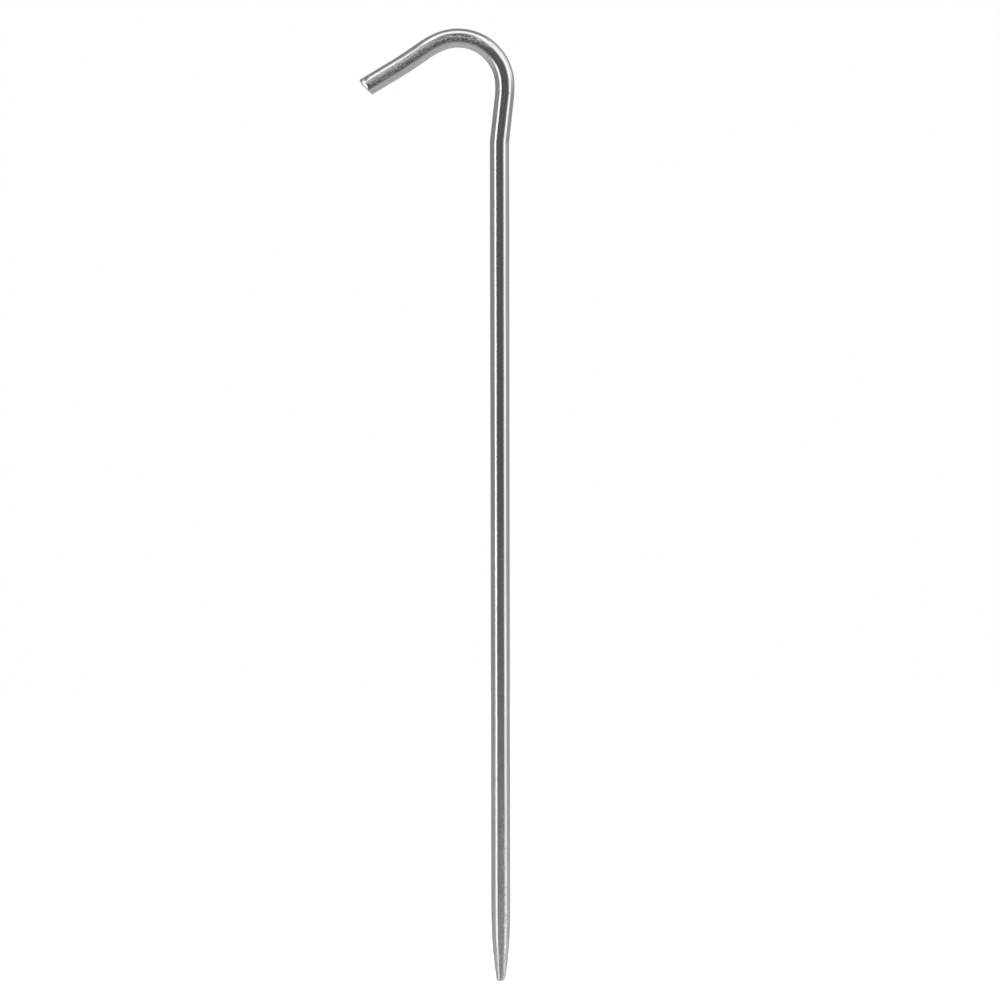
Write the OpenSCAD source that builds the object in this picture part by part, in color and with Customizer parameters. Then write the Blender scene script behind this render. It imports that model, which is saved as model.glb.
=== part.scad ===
// Hooked wire tent stake.
//
// One length of round steel wire: pointed at the lower end, straight for most of its length, and
// bent over at the top into an open hook for a guy line. It has no cap, weld or second piece.
//
// +Z runs up the shank. The hook lies in the XZ plane and opens towards -X. The origin is on the
// shank's axis at its upper end, where the neck begins: the shank below it goes into the ground.

/* [Wire] */
// Diameter of the wire
wire_d = 4.5; // [3.5:0.1:5.5]
// Overall length, from the end of the point to the top of the hook
overall_len = 228.6; // [178:0.2:254]

/* [Point] */
// Radius of the arc that draws the point's side
point_arc_r = 116; // [60:2:200]
// Diameter left at the blunt end of the point
point_d = 1.8; // [1:0.1:3]
// Slant of the blunt end, in degrees
point_slant = 20; // [0:1:30]

/* [Neck] */
// Centreline radius of the small bend that leans the neck out behind the shank
neck_r = 20; // [10:1:60]
// How far the neck leans away from the hook's opening, in degrees
neck_turn = 6.4; // [2:0.1:12]
// Straight length of the neck
neck_len = 9.5; // [4:0.5:20]

/* [Hook] */
// Centreline radius of the crook
hook_r = 11.25; // [9:0.25:16]
// Turn of the crook at that radius, in degrees
hook_turn = 111; // [90:1:130]
// Centreline radius of the easier bends that lead into and out of the crook
ease_r = 23; // [18:1:40]
// Turn of the easier bend on the neck side, in degrees
ease_in_turn = 9.5; // [5:0.5:15]
// Turn of the easier bend on the arm side, in degrees
ease_out_turn = 11.5; // [5:0.5:15]

/* [Arm] */
// Centreline radius of the slight outward curve at the start of the arm
flare_r = 100; // [60:5:160]
// Turn of that curve, in degrees
flare_turn = 4.6; // [2:0.1:8]
// Straight length of the arm along its axis, up to the middle of its cut end
arm_len = 8; // [5:0.5:20]
// Slant of the cut end from square, with the outer side of the arm the longer, in degrees
cut_slant = 8; // [0:1:20]
// Distance from the arm's axis at which the facet on each side of the cut end begins
facet_from = 1.6; // [1:0.1:1.7]
// Fall of each facet away from the cut end, in degrees
facet_fall = 45; // [30:1:60]

/* [Hidden] */

$fn = 96;
wire_r = wire_d / 2;
point_r = point_d / 2;

// Cold bending leaves the wire very slightly thicker in the bends than in the straights. Each run
// also goes this far past both of its ends, so the thinner of two neighbours ends inside the other.
ease_d = wire_d + 0.04;
crook_d = wire_d + 0.08;
lap = 0.05;

// The arc of the point's side is widest just outside the wire, so that it meets it at a clear edge.
arc_over = 0.02;
arc_drop = wire_r + arc_over - point_r;
point_len = sqrt(2 * point_arc_r * arc_drop - arc_drop * arc_drop);

// Lean of the wire from +Z where the neck's easy bend meets the crook, towards -X.
crook_lean = ease_in_turn - neck_turn;

// Height of the crook's top above the shank's upper end, run by run up the centreline.
neck_rise = neck_r * sin(neck_turn) + neck_len * cos(neck_turn);
ease_rise = ease_r * (sin(neck_turn) + sin(crook_lean));
crook_rise = hook_r * (1 - sin(crook_lean));
hook_height = neck_rise + ease_rise + crook_rise + crook_d / 2;

shank_len = overall_len - hook_height;
round_len = shank_len - point_len;

// A cutting block this wide clears the wire whichever way it is turned.
cutter = 4 * wire_d;

// The block that trims whatever lies beyond the XY plane.
module trim_block() {
    translate([-cutter / 2, -cutter / 2, 0]) cube(cutter);
}

// A straight of the wire along +Z. Its children go on from its upper end.
module straight(length) {
    translate([0, 0, -lap]) cylinder(d = wire_d, h = length + 2 * lap);
    translate([0, 0, length]) children();
}

// A bend of the wire in the XZ plane, starting along +Z and turning towards +X when turn is
// positive. Its children go on from its end, in the wire's own direction.
module bend(radius, turn, diameter) {
    side = sign(turn);
    spare = lap * 180 / (PI * radius);
    translate([side * radius, 0, 0]) {
        rotate([90, 0, side > 0 ? 180 : 0])
            rotate_extrude(start = -spare, angle = abs(turn) + 2 * spare)
                translate([radius, 0]) circle(d = diameter);
        rotate([0, turn, 0])
            translate([-side * radius, 0, 0]) children();
    }
}

// The point, standing on its blunt end at the origin: an arc's profile turned about +Z.
module point_blank() {
    rotate_extrude()
        intersection() {
            square([wire_r, point_len]);
            translate([wire_r + arc_over - point_arc_r, point_len])
                circle(r = point_arc_r, $fn = 1440);
        }
}

// The point with its end cut at a slant, so that its lowest place is on the -X side.
module point() {
    difference() {
        point_blank();
        translate([-point_r, 0, 0])
            rotate([0, -point_slant, 0])
                mirror([0, 0, 1]) trim_block();
    }
}

// The arm's straight end, from the flare to its cut: a slanted face with a facet on each side.
module arm_end() {
    difference() {
        translate([0, 0, -lap]) cylinder(d = wire_d, h = arm_len + wire_r);
        translate([0, 0, arm_len])
            rotate([0, -cut_slant, 0]) {
                trim_block();
                for (side = [-1, 1])
                    translate([0, side * facet_from, 0])
                        rotate([-side * facet_fall, 0, 0]) trim_block();
            }
    }
}

// The whole stake, drawn from its point up the shank and over the hook to the arm.
module hooked_rod() {
    color("silver")
        translate([0, 0, -shank_len]) {
            point();
            translate([0, 0, point_len])
                straight(round_len)
                bend(neck_r, neck_turn, ease_d)
                straight(neck_len)
                bend(ease_r, -ease_in_turn, ease_d)
                bend(hook_r, -hook_turn, crook_d)
                bend(ease_r, -ease_out_turn, ease_d)
                bend(flare_r, flare_turn, crook_d)
                arm_end();
        }
}

hooked_rod();
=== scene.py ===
"""Looks of a hooked wire tent stake: one bent steel wire, zinc plated, on a pale studio floor.

The CAD model sets the frame: +Z runs up the shank, the hook lies in the XZ plane and opens
towards -X, and the origin is on the shank's axis at its upper end. Lengths are in millimetres
unless a comment says metres, and MM turns them into metres.
"""

import math

import bmesh
import bpy
from mathutils import Matrix, Vector, noise


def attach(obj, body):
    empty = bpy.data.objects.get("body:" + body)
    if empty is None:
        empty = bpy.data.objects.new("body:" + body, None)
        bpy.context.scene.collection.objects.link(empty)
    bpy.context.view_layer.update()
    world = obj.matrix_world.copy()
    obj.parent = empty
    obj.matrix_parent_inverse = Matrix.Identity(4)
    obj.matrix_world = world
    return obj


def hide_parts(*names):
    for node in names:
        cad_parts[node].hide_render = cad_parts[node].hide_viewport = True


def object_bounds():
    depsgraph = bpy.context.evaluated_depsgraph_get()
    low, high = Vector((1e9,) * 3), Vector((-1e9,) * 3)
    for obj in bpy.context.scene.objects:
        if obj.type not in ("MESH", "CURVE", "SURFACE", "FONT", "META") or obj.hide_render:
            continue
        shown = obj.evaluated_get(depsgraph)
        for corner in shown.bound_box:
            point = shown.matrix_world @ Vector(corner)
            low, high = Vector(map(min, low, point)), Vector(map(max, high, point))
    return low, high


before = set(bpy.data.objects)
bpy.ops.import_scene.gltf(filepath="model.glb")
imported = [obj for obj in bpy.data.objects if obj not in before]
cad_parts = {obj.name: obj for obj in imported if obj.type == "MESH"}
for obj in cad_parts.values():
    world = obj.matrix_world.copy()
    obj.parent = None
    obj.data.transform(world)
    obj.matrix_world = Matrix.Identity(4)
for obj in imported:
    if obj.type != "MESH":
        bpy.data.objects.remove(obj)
cad_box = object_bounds()

MM = 0.001

# The wire's radius, and the arc that draws the point's side. At the arc's widest it stands
# POINT_OVER outside the wire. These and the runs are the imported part's own dimensions.
WIRE_R = 2.25
POINT_LEN = 17.78
POINT_ARC_R = 116.0
POINT_OVER = 0.02
# The wire above the shank, run by run: a straight's length, or a bend's centreline radius and
# its turn in degrees, positive towards +X.
RUNS = [
    ("bend", 20.0, 6.4),
    ("straight", 9.5),
    ("bend", 23.0, -9.5),
    ("bend", 11.25, -111.0),
    ("bend", 23.0, -11.5),
    ("bend", 100.0, 4.6),
    ("straight", 8.0),
]
TIP_Z = cad_box[0].z / MM

# The mesh's spacing: round the wire, along the plain shank, and along everything else.
SEGMENTS = 96
SHANK_STEP = 0.5
FINE_STEP = 0.22
ANGLES = [math.tau * i / SEGMENTS for i in range(SEGMENTS)]


# ---- The wire's centreline -------------------------------------------------------------------


class Centreline:
    """The middle of the wire, measured by the distance travelled from the point's lowest end."""

    def __init__(self):
        self.starts = []
        x, z, heading, travelled = 0.0, TIP_Z, 0.0, 0.0
        for run in [("straight", -TIP_Z)] + RUNS:
            turn = math.radians(run[2]) if run[0] == "bend" else 0.0
            length = abs(turn) * run[1] if turn else run[1]
            curve = turn / length
            self.starts.append((travelled, x, z, heading, curve))
            x, z, heading = self.go(x, z, heading, curve, length)
            travelled += length
        self.length = travelled

    @staticmethod
    def go(x, z, heading, curve, distance):
        """Where a wire that starts at x, z with this heading and curve gets to."""
        end = heading + curve * distance
        if curve == 0:
            return x + distance * math.sin(heading), z + distance * math.cos(heading), end
        return (
            x + (math.cos(heading) - math.cos(end)) / curve,
            z + (math.sin(end) - math.sin(heading)) / curve,
            end,
        )

    def at(self, travelled):
        """The centre's x and z, and the wire's heading there."""
        start = max((s for s in self.starts if s[0] <= travelled), default=self.starts[0])
        return self.go(start[1], start[2], start[3], start[4], travelled - start[0])


line = Centreline()
# Distances along the wire: the shank's upper end, the start of the bent hook, and the cut end.
SHANK_TOP = -TIP_Z
HOOK_FROM = SHANK_TOP + 13.0
CUT = line.length


def place(travelled, angle, radius):
    """The point in metres at this distance along the wire, angle round it and radius.

    Angle 0 is the hook's outer side, and -90 degrees is the side towards -Y.
    """
    x, z, heading = line.at(travelled)
    out = radius * math.cos(angle)
    return Vector(
        (
            (x + out * math.cos(heading)) * MM,
            radius * math.sin(angle) * MM,
            (z - out * math.sin(heading)) * MM,
        )
    )


# ---- The wire's real surface -----------------------------------------------------------------

# Dents and nicks: distance along the wire, angle round it in degrees, half length along the wire,
# half width round it, and depth. A speck that stands proud has a negative depth.
DENTS = [
    (CUT - 0.70, -46, 0.60, 0.50, 0.085),
    (CUT - 6.1, -80, 0.50, 0.35, 0.020),
    (CUT - 9.4, -99, 0.60, 0.40, 0.020),
    (SHANK_TOP + 12.9, -62, 0.22, 0.20, -0.045),
    (SHANK_TOP + 25.2, -62, 0.70, 0.45, 0.020),
    (SHANK_TOP + 27.6, -66, 0.50, 0.35, 0.022),
    (SHANK_TOP + 30.5, -76, 0.55, 0.35, 0.018),
    (8.6, -55, 0.45, 0.35, 0.035),
    (7.2, -52, 0.30, 0.30, 0.030),
    (7.6, -128, 0.60, 0.35, 0.030),
    (5.9, -126, 0.40, 0.35, 0.040),
    (4.4, -134, 0.50, 0.45, 0.045),
    (3.7, -50, 0.30, 0.25, -0.030),
    (9.8, 70, 0.60, 0.40, 0.030),
    (6.3, 110, 0.50, 0.40, 0.035),
    (3.4, 88, 0.50, 0.30, 0.040),
]
# Rings left round the point by its forming: distance from the end, half length, and depth.
POINT_RINGS = [(4.75, 0.09, 0.022), (3.2, 0.14, 0.018), (7.4, 0.25, 0.012)]
# A dent is left out beyond this many half lengths, where nothing of it remains.
DENT_REACH = 3

# How far the surface stands outside the nominal wire: everywhere, and more on the lower shank, on
# the upper shank, round the hook and at the point. Each span is where such a part begins or ends.
SWELL = 0.040
SWELL_LOWER = 0.030
LOWER_BEGINS = (14, 22)
LOWER_ENDS = (45, 70)
SWELL_UPPER = 0.025
UPPER_BEGINS = (SHANK_TOP - 66, SHANK_TOP - 50)
SWELL_HOOK = 0.020
HOOK_BEGINS = (HOOK_FROM, HOOK_FROM + 4)
SWELL_POINT = 0.050
POINT_ENDS = (6, 16)

# The wire's unevenness: slow waves along it, dapples that are weaker where it is straight, and
# the rough surface of the point.
UNDULATION = 0.010
UNDULATION_ROUND = 0.6
UNDULATION_LEN = 14
DAPPLE = 0.006
DAPPLE_SIZE = 0.9
DAPPLE_STRETCH = 0.7
DAPPLE_STRAIGHT = 0.25
ROUGH = 0.030
ROUGH_ENDS = (2.0, 11.0)
ROUGH_ROUND = 1.3
ROUGH_LEN = 1.1
# The point's rough side and its broken end use fractal noise with this fall-off, this step in
# scale and this number of octaves.
FRACTAL = (1.0, 2.0, 3)


def smooth(low, high, value):
    """0 below low, 1 above high, and a smooth step between."""
    t = min(1.0, max(0.0, (value - low) / (high - low)))
    return t * t * (3 - 2 * t)


def bell(distance, half):
    """A bell of height 1 that has all but gone two halves away."""
    return math.exp(-((distance / half) ** 2))


def profile_radius(travelled):
    """The clean radius of the wire, with the point's arc."""
    rise = max(0.0, POINT_LEN - travelled)
    arc = POINT_ARC_R - math.sqrt(POINT_ARC_R**2 - rise**2)
    return min(WIRE_R, WIRE_R + POINT_OVER - arc)


def surface_radius(travelled, angle):
    """The wire's radius with its forming marks, dents and slight unevenness."""
    clean = profile_radius(travelled)
    c, s = math.cos(angle), math.sin(angle)
    radius = clean
    slow = Vector((UNDULATION_ROUND * c, UNDULATION_ROUND * s, travelled / UNDULATION_LEN))
    radius += UNDULATION * noise.noise(slow)
    hook = smooth(*HOOK_BEGINS, travelled)
    lower = smooth(*LOWER_BEGINS, travelled) * (1 - smooth(*LOWER_ENDS, travelled))
    radius += SWELL + SWELL_HOOK * hook
    radius += SWELL_LOWER * lower
    radius += SWELL_UPPER * smooth(*UPPER_BEGINS, travelled)
    radius += SWELL_POINT * (1 - smooth(*POINT_ENDS, travelled))
    dapple = Vector((clean * c, clean * s, DAPPLE_STRETCH * travelled)) / DAPPLE_SIZE
    radius += DAPPLE * (DAPPLE_STRAIGHT + hook) * noise.noise(dapple)
    near_point = 1 - smooth(*ROUGH_ENDS, travelled)
    if near_point > 0:
        fine = Vector((ROUGH_ROUND * c, ROUGH_ROUND * s, travelled / ROUGH_LEN))
        radius += ROUGH * near_point * noise.fractal(fine, *FRACTAL)
        for at, half, depth in POINT_RINGS:
            radius -= depth * bell(travelled - at, half)
    for at, degrees, half_len, half_wide, depth in DENTS:
        along = travelled - at
        if abs(along) > DENT_REACH * half_len:
            continue
        turn = math.remainder(angle - math.radians(degrees), math.tau)
        radius -= depth * bell(along, half_len) * bell(turn * clean, half_wide)
    return radius


# ---- The two ends ----------------------------------------------------------------------------

# Here "out" is a place's distance from the wire's axis towards the hook's outer side, and "side"
# its distance across that.

# The arm's cut: how far its outer edge stands past the arm's end, the share of the radius at which
# the face turns back, and how steeply. Then where the facet on each side starts, how steeply it
# falls, and how much it leans.
CUT_STEP = 0.32
CUT_TURN_AT = 0.34
CUT_SLANT = math.tan(math.radians(14.5))
FACET_FROM = 1.90
FACET_FALL = 1.8
FACET_LEAN = math.radians(10)
# Its torn surface, which fades out this far before the facets, and its finer grain.
CUT_TEAR = 0.06
CUT_TEAR_FADE = 0.3
CUT_GRAIN = 0.02
# The radius of its edge, and the rings of its face.
CUT_EDGE = 0.10
CUT_RINGS = 26
# The arm's last stretch, over which the mesh's rings come to follow the uneven rim of the cut.
CUT_SETTLE = 3.0

# The blunt end of the point: its height is one of these times the square of the distance from its
# middle, towards the hook's outer side, its inner side and the other two. Then come the height of
# its broken surface, the radius of its edge, and the rings of its face.
TIP_RISE_OUT = 0.50
TIP_RISE_IN = 0.15
TIP_RISE_SIDE = 0.30
TIP_BREAK = 0.10
TIP_EDGE = 0.10
TIP_RINGS = 8
# The rim takes the wire's radius this far from the end, and by TIP_SETTLE the rings run square.
TIP_RIM_AT = 0.6
TIP_SETTLE = 2.2

# The noise of each broken surface: features for each millimetre out and to the side, and a slice.
CUT_TEAR_NOISE = (0.9, 2.6, 3.0)
CUT_GRAIN_NOISE = (2.0, 9.0, 7.0)
TIP_BREAK_NOISE = (2.4, 2.4, 1.7)

# The turns in degrees that round the edge of either end.
EDGE_TURNS = (15, 35, 55, 75, 90)


def broken(out, side, kind):
    """The place in this kind of noise for this place on the wire's section."""
    return Vector((out * kind[0], side * kind[1], kind[2]))


def cut_height(out, side):
    """The cut end's distance past the arm's end, at this place on the wire's section."""
    height = CUT_STEP - CUT_SLANT * max(0.0, CUT_TURN_AT * WIRE_R - out)
    reach = abs(side) * math.cos(FACET_LEAN) + out * math.sin(FACET_LEAN)
    if reach > FACET_FROM:
        return height - FACET_FALL * (reach - FACET_FROM)
    torn = smooth(0.0, CUT_TEAR_FADE, FACET_FROM - reach)
    height += torn * CUT_TEAR * noise.noise(broken(out, side, CUT_TEAR_NOISE))
    return height + torn * CUT_GRAIN * noise.noise(broken(out, side, CUT_GRAIN_NOISE))


def tip_height(out, side):
    """The blunt end's height above the lowest place, at this place on the wire's section."""
    height = (TIP_RISE_OUT if out > 0 else TIP_RISE_IN) * out * out
    height += TIP_RISE_SIDE * side * side
    height += TIP_BREAK * noise.fractal(broken(out, side, TIP_BREAK_NOISE), *FRACTAL)
    return max(0.0, height)


def end_rings(height, rim_at, edge, count):
    """Rings of points over an end, from its rim to its centre.

    Each point is the end's height there, its drop at the rounded edge, its angle and its radius.
    """
    steps = []
    for degrees in EDGE_TURNS:
        turn = math.radians(degrees)
        steps.append((edge * (1 - math.cos(turn)), edge * (1 - math.sin(turn)), 0.0))
    for i in range(1, count):
        steps.append((edge, 0.0, i / count))

    rings = []
    for inset, drop, share in steps:
        ring = []
        for angle in ANGLES:
            radius = (surface_radius(rim_at, angle) - inset) * (1 - share)
            past = height(radius * math.cos(angle), radius * math.sin(angle))
            ring.append((past, drop, angle, radius))
        rings.append(ring)
    return rings


# ---- The mesh --------------------------------------------------------------------------------


def stations(start, end, step):
    """Distances from start up to, and not including, end."""
    count = math.ceil((end - start) / step)
    return [start + (end - start) * i / count for i in range(count)]


def build_wire():
    """The whole stake as one closed mesh, with its unbent coordinates kept as an attribute."""
    mesh = bmesh.new()
    unbent = mesh.verts.layers.float_vector.new("unbent")

    def vertex(travelled, angle, radius):
        v = mesh.verts.new(place(travelled, angle, radius))
        v[unbent] = (
            radius * math.cos(angle) * MM,
            radius * math.sin(angle) * MM,
            travelled * MM,
        )
        return v

    rings = []

    # The blunt end, from its centre out to the rim.
    for ring in reversed(end_rings(tip_height, TIP_RIM_AT, TIP_EDGE, TIP_RINGS)):
        rings.append([vertex(past + drop, angle, radius) for past, drop, angle, radius in ring])

    # The side of the point, which starts from the uneven rim and soon runs square.
    for travelled in stations(0.0, TIP_SETTLE, FINE_STEP)[1:]:
        ring = []
        for angle in ANGLES:
            rim = surface_radius(TIP_RIM_AT, angle)
            start = tip_height(rim * math.cos(angle), rim * math.sin(angle)) + TIP_EDGE
            at = start + (TIP_SETTLE - start) * travelled / TIP_SETTLE
            ring.append(vertex(at, angle, surface_radius(at, angle)))
        rings.append(ring)

    # The rest of the point, the shank, and the hook up to the arm's last stretch, in square rings.
    plain_from = POINT_LEN + 1
    settle_from = CUT - CUT_SETTLE
    square = stations(TIP_SETTLE, plain_from, FINE_STEP)
    square += stations(plain_from, SHANK_TOP, SHANK_STEP)
    square += stations(SHANK_TOP, settle_from, FINE_STEP)
    for travelled in square:
        rings.append([vertex(travelled, a, surface_radius(travelled, a)) for a in ANGLES])

    # The arm's last stretch, which runs out to the uneven rim of the cut.
    for share in stations(0.0, 1.0, FINE_STEP / CUT_SETTLE) + [1.0]:
        ring = []
        for angle in ANGLES:
            rim = surface_radius(CUT, angle)
            past = cut_height(rim * math.cos(angle), rim * math.sin(angle)) - CUT_EDGE
            at = settle_from + (CUT + past - settle_from) * share
            ring.append(vertex(at, angle, surface_radius(at, angle)))
        rings.append(ring)

    # The cut end, from its rim to its centre.
    for ring in end_rings(cut_height, CUT, CUT_EDGE, CUT_RINGS):
        points = [(CUT + past - drop, angle, radius) for past, drop, angle, radius in ring]
        rings.append([vertex(*point) for point in points])

    # The faces between the rings, and the fan that closes each end.
    for low, high in zip(rings, rings[1:]):
        for i in range(SEGMENTS):
            j = (i + 1) % SEGMENTS
            mesh.faces.new((low[i], low[j], high[j], high[i]))
    tip_centre = vertex(tip_height(0, 0), 0.0, 0.0)
    cut_centre = vertex(CUT + cut_height(0, 0), 0.0, 0.0)
    for i in range(SEGMENTS):
        j = (i + 1) % SEGMENTS
        mesh.faces.new((tip_centre, rings[0][j], rings[0][i]))
        mesh.faces.new((cut_centre, rings[-1][i], rings[-1][j]))

    for face in mesh.faces:
        face.smooth = True
    bmesh.ops.recalc_face_normals(mesh, faces=mesh.faces)
    data = bpy.data.meshes.new("zinc_wire")
    mesh.to_mesh(data)
    mesh.free()
    return data


# ---- Node helpers ----------------------------------------------------------------------------


class Nodes:
    """A short way to write a node tree."""

    def __init__(self, tree):
        self.tree = tree
        tree.nodes.clear()

    def add(self, kind, **settings):
        node = self.tree.nodes.new("ShaderNode" + kind)
        for name, value in settings.items():
            setattr(node, name, value)
        return node

    def wire(self, source, socket):
        if isinstance(source, bpy.types.NodeSocket):
            self.tree.links.new(source, socket)
        else:
            socket.default_value = source

    def math(self, operation, *values):
        node = self.add("Math", operation=operation)
        for value, socket in zip(values, node.inputs):
            self.wire(value, socket)
        return node.outputs[0]

    def ramp(self, value, low, high, start=0.0, end=1.0):
        """A smooth step from start, where value is low, to end, where it is high."""
        node = self.add("MapRange", interpolation_type="SMOOTHSTEP")
        for name, source in (
            ("Value", value),
            ("From Min", low),
            ("From Max", high),
            ("To Min", start),
            ("To Max", end),
        ):
            self.wire(source, node.inputs[name])
        return node.outputs["Result"]

    def along(self, value, span, start=0.0, end=1.0):
        """A smooth step over a length in metres, between two lengths in millimetres."""
        return self.ramp(value, span[0] * MM, span[1] * MM, start, end)

    def noise(self, vector, scale, detail, lengthwise):
        """Noise over a position in metres, with scale in features per millimetre across the wire.

        The features along the wire number this share of those across it.
        """
        size = self.add("Mapping")
        self.wire(vector, size.inputs["Vector"])
        size.inputs["Scale"].default_value = [k * scale / MM for k in (1, 1, lengthwise)]
        node = self.add("TexNoise")
        self.wire(size.outputs[0], node.inputs["Vector"])
        node.inputs["Scale"].default_value = 1.0
        node.inputs["Detail"].default_value = detail
        return node.outputs["Fac"]

    def bump(self, height, distance, normal=None):
        """A bump whose full height is this many millimetres."""
        node = self.add("Bump")
        node.inputs["Strength"].default_value = 1.0
        node.inputs["Distance"].default_value = distance * MM
        self.wire(height, node.inputs["Height"])
        if normal:
            self.wire(normal, node.inputs["Normal"])
        return node.outputs[0]


# ---- The metal -------------------------------------------------------------------------------

# Spans along the wire: over which the wear, the blunting and the scuffing that start at the point
# come to an end, and where the bending tool's pressing begins and ends. The wear's span starts
# before the point does, so the point itself is not fully worn.
WORN_ENDS = (-45, 130)
BLUNTED_ENDS = (3, 12)
SCUFFED_ENDS = (24, 60)
PRESSED_BEGINS = (SHANK_TOP + 23, SHANK_TOP + 29)
PRESSED_ENDS = (CUT - 1.4, CUT - 0.8)
# Spans across the wire: the pressed strip to either side of its middle, and its outer side, with
# the share of the scuffing that is left on the inner side.
PRESSED_STRIP = (0.45, 0.85)
OUTER_SIDE = (0.0, 0.7)
INNER_SCUFF = 0.15

# The metal's patterns: features for each millimetre across the wire, detail, and the share of them
# along it. Each step is the span of a pattern over which its mark comes in.
GRAIN_PATTERN = (5.0, 3.0, 0.03)
STREAK_PATTERN = (1.6, 2.0, 0.02)
PEEL_PATTERN = (3.8, 3.0, 0.5)
SPECK_PATTERN = (3.0, 3.0, 0.6)
PATCH_PATTERN = (0.35, 3.0, 1)
GRAIN_STEP = (0.35, 0.7)
STREAK_STEP = (0.3, 0.7)
PIT_STEP = (0.46, 0.72)
SCRATCH_STEP = (0.55, 0.75)
PATCH_STEP = (0.3, 0.7)
LEAST_PATCH = 0.75

DARK_ZINC = (0.60, 0.60, 0.60, 1)
LIGHT_ZINC = (0.68, 0.68, 0.68, 1)
# Where the metal is dull it is this much less metallic.
DULL_LOSS = 0.34
# Roughness: the bright metal's, and what dull, blunted and grained metal adds.
ROUGHNESS = 0.10
DULL_ROUGHNESS = 0.06
BLUNT_ROUGHNESS = 0.12
GRAIN_ROUGHNESS = 0.04
# Heights of the finest relief.
GRAIN_HEIGHT = 0.0012
PEEL_HEIGHT = 0.010
PIT_HEIGHT = 0.042
SCRATCH_HEIGHT = 0.04


def zinc_material():
    """Bright zinc over drawn wire: fine grain along it, pits where the bending tool pressed on it,
    and duller, scuffed metal towards the point."""
    material = bpy.data.materials.new("zinc_plated_steel")
    material.use_nodes = True
    n = Nodes(material.node_tree)
    unbent = n.add("Attribute", attribute_type="GEOMETRY", attribute_name="unbent")
    where = unbent.outputs["Vector"]
    split = n.add("SeparateXYZ")
    n.wire(where, split.inputs[0])
    across, travelled = split.outputs["X"], split.outputs["Z"]

    grain = n.noise(where, *GRAIN_PATTERN)
    streaks = n.noise(where, *STREAK_PATTERN)
    peel = n.noise(where, *PEEL_PATTERN)
    specks = n.noise(where, *SPECK_PATTERN)
    patches = n.noise(where, *PATCH_PATTERN)

    worn = n.along(travelled, WORN_ENDS, 1.0, 0.0)
    dull = n.math("MULTIPLY", worn, n.ramp(patches, *PATCH_STEP, LEAST_PATCH, 1.0))
    blunted = n.along(travelled, BLUNTED_ENDS, 1.0, 0.0)
    outer_side = n.along(across, OUTER_SIDE, INNER_SCUFF, 1.0)
    scuffed = n.math("MULTIPLY", n.along(travelled, SCUFFED_ENDS, 1.0, 0.0), outer_side)
    strip = n.along(n.math("ABSOLUTE", across), PRESSED_STRIP, 1.0, 0.0)
    pressed = n.math("MULTIPLY", n.along(travelled, PRESSED_BEGINS), strip)
    pressed = n.math("MULTIPLY", pressed, n.along(travelled, PRESSED_ENDS, 1.0, 0.0))

    metal = n.add("BsdfPrincipled")
    tone = n.add("MixRGB")
    n.wire(n.ramp(streaks, *STREAK_STEP), tone.inputs[0])
    tone.inputs[1].default_value = DARK_ZINC
    tone.inputs[2].default_value = LIGHT_ZINC
    n.wire(tone.outputs[0], metal.inputs["Base Color"])
    metallic = n.math("SUBTRACT", 1.0, n.math("MULTIPLY", dull, DULL_LOSS))
    n.wire(metallic, metal.inputs["Metallic"])
    rough = n.math("ADD", ROUGHNESS, n.math("MULTIPLY", dull, DULL_ROUGHNESS))
    rough = n.math("ADD", rough, n.math("MULTIPLY", blunted, BLUNT_ROUGHNESS))
    rough = n.math("ADD", rough, n.ramp(grain, *GRAIN_STEP, 0.0, GRAIN_ROUGHNESS))
    n.wire(rough, metal.inputs["Roughness"])

    pits = n.math("MULTIPLY", n.ramp(peel, *PIT_STEP), pressed)
    most_scuffed = n.math("MULTIPLY", scuffed, scuffed)
    scratches = n.math("MULTIPLY", n.ramp(specks, *SCRATCH_STEP), most_scuffed)
    normal = n.bump(grain, GRAIN_HEIGHT)
    normal = n.bump(peel, PEEL_HEIGHT, normal)
    normal = n.bump(pits, PIT_HEIGHT, normal)
    normal = n.bump(scratches, SCRATCH_HEIGHT, normal)
    n.wire(normal, metal.inputs["Normal"])

    output = n.add("OutputMaterial")
    n.wire(metal.outputs[0], output.inputs["Surface"])
    return material


# ---- The studio ------------------------------------------------------------------------------

# Each softbox: its angle in degrees from the front axis, which points at the camera, its flat half
# width and its fade, the same three for the direction round that axis (0 right, 90 up), and its
# strength.
SOFTBOXES = [
    ("left_box", 52, 9, 4, 175, 20, 26, 1.50),
    ("right_box", 63, 6, 14, 26, 36, 9, 1.05),
    ("top_box", 76, 8, 16, 90, 24, 12, 1.15),
    ("arm_box", 66, 7, 10, 130, 12, 10, 0.85),
    ("right_card", 92, 16, 14, 32, 16, 20, 0.70),
    ("upper_card", 36, 6, 7, 127, 8, 15, 0.62),
    ("upper_right_card", 44, 4, 8, 56, 14, 14, 0.50),
    ("front_card", 14, 4, 8, 94, 14, 18, 0.60),
    ("low_right_box", 92, 14, 8, -34, 12, 8, 1.20),
    ("low_back_box", 168, 8, 4, -90, 50, 12, 1.00),
]
# The tent's brightness: its left and right sides, below, above, and the dark opening in front.
TENT_SIDES = (0.335, 0.40)
TENT_BELOW = 0.58
TENT_ABOVE = 0.32
FRONT_DARK = 0.125
# Where one passes into the next: the direction's height, and degrees from the front axis.
BELOW_ENDS = (-0.65, -0.05)
ABOVE_BEGINS = (0.35, 0.75)
FRONT_ENDS = (28, 66)
WHITE = (1.0, 1.0, 1.0, 1.0)


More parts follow.
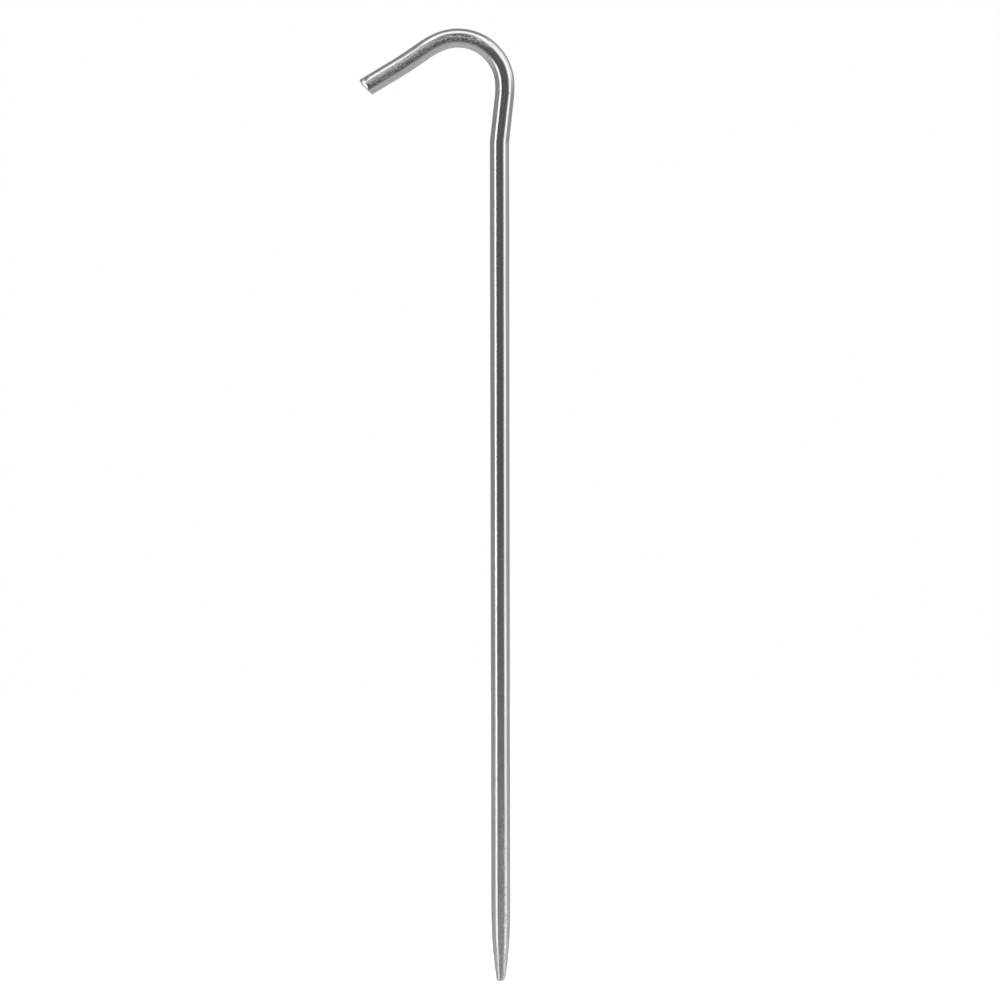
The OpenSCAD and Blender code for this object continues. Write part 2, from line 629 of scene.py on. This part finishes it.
def studio_world():
    """A grey light tent with softboxes, seen only in the metal: the camera itself sees white."""
    world = bpy.data.worlds.new("studio")
    world.use_nodes = True
    bpy.context.scene.world = world
    n = Nodes(world.node_tree)
    direction = n.add("TexCoord").outputs["Generated"]
    split = n.add("SeparateXYZ")
    n.wire(direction, split.inputs[0])
    dx, dy, dz = split.outputs
    off_axis = n.math("DEGREES", n.math("ARCCOSINE", n.math("MULTIPLY", dy, -1.0)))
    round_axis = n.math("DEGREES", n.math("ARCTAN2", dz, dx))

    sides = n.ramp(dx, -1.0, 1.0, *TENT_SIDES)
    below = n.ramp(dz, *BELOW_ENDS, 1.0, 0.0)
    above = n.ramp(dz, *ABOVE_BEGINS)

    def blend(share, first, second):
        """The second for this share, and the first for the rest."""
        return n.math(
            "ADD",
            n.math("MULTIPLY", first, n.math("SUBTRACT", 1.0, share)),
            n.math("MULTIPLY", second, share),
        )

    tent = blend(above, blend(below, sides, TENT_BELOW), TENT_ABOVE)
    tent = blend(n.ramp(off_axis, *FRONT_ENDS, 1.0, 0.0), tent, FRONT_DARK)
    for _, off, half, fade, around, half_round, fade_round, strength in SOFTBOXES:
        away = n.math("ABSOLUTE", n.math("SUBTRACT", off_axis, off))
        lit = n.ramp(away, half, half + fade, 1.0, 0.0)
        turned = n.math("WRAP", n.math("SUBTRACT", round_axis, around), 180.0, -180.0)
        turned = n.math("ABSOLUTE", turned)
        lit_round = n.ramp(turned, half_round, half_round + fade_round, 1.0, 0.0)
        lit = n.math("MULTIPLY", lit, lit_round)
        tent = n.math("ADD", tent, n.math("MULTIPLY", lit, strength))

    lit_tent = n.add("Background")
    n.wire(tent, lit_tent.inputs["Strength"])
    lit_tent.inputs["Color"].default_value = WHITE
    backdrop = n.add("Background")
    backdrop.inputs["Color"].default_value = WHITE
    choose = n.add("MixShader")
    n.wire(n.add("LightPath").outputs["Is Camera Ray"], choose.inputs[0])
    n.wire(lit_tent.outputs[0], choose.inputs[1])
    n.wire(backdrop.outputs[0], choose.inputs[2])
    output = n.add("OutputWorld")
    n.wire(choose.outputs[0], output.inputs["Surface"])


# The floor: half its width in metres, its shade and roughness, and the light it adds to itself.
FLOOR_HALF = 3.0
FLOOR_SHADE = (0.9, 0.9, 0.9, 1)
FLOOR_ROUGHNESS = 0.9
FLOOR_GLOW = 0.72


def studio_floor():
    """A plain pale floor just under the point, kept out of the metal's reflections."""
    mesh = bmesh.new()
    corners = [(-1, -1), (1, -1), (1, 1), (-1, 1)]
    verts = [mesh.verts.new((FLOOR_HALF * x, FLOOR_HALF * y, TIP_Z * MM)) for x, y in corners]
    mesh.faces.new(verts)
    data = bpy.data.meshes.new("floor")
    mesh.to_mesh(data)
    mesh.free()
    floor = bpy.data.objects.new("floor", data)
    bpy.context.scene.collection.objects.link(floor)
    floor.visible_glossy = False
    material = bpy.data.materials.new("pale_floor")
    material.use_nodes = True
    n = Nodes(material.node_tree)
    pale = n.add("BsdfPrincipled")
    pale.inputs["Base Color"].default_value = FLOOR_SHADE
    pale.inputs["Roughness"].default_value = FLOOR_ROUGHNESS
    pale.inputs["Specular IOR Level"].default_value = 0.0
    pale.inputs["Emission Color"].default_value = WHITE
    pale.inputs["Emission Strength"].default_value = FLOOR_GLOW
    output = n.add("OutputMaterial")
    n.wire(pale.outputs[0], output.inputs["Surface"])
    data.materials.append(material)


# The camera looks along +Y, from far enough to keep the shank's two sides parallel. In metres,
# CAMERA_AWAY is its distance, VIEW_WIDE the width of the picture at the stake and FAR_END how far
# it sees. AIM_X and AIM_Z are the middle of the picture.
CAMERA_AWAY = 2.0
VIEW_WIDE = 0.240
SENSOR_WIDE = 36.0
FAR_END = 100.0
AIM_X = -0.02
AIM_Z = -84.73
ROLL = math.radians(-0.107)


def studio_camera():
    """The camera, turned by ROLL about its own axis."""
    data = bpy.data.cameras.new("camera")
    data.sensor_width = SENSOR_WIDE
    data.lens = data.sensor_width * CAMERA_AWAY / VIEW_WIDE
    data.clip_end = FAR_END
    camera = bpy.data.objects.new("camera", data)
    bpy.context.scene.collection.objects.link(camera)
    turn = Matrix.Rotation(math.radians(90), 4, "X") @ Matrix.Rotation(ROLL, 4, "Z")
    place_at = Matrix.Translation((AIM_X * MM, -CAMERA_AWAY, AIM_Z * MM))
    camera.matrix_world = place_at @ turn
    bpy.context.scene.camera = camera


# ---- Put together ----------------------------------------------------------------------------

studio_camera()
studio_world()
studio_floor()
bpy.context.scene.view_settings.view_transform = "Standard"

stake = bpy.data.objects.new("zinc_wire", build_wire())
bpy.context.scene.collection.objects.link(stake)
stake.data.materials.append(zinc_material())
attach(stake, "root")
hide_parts("hooked_rod")
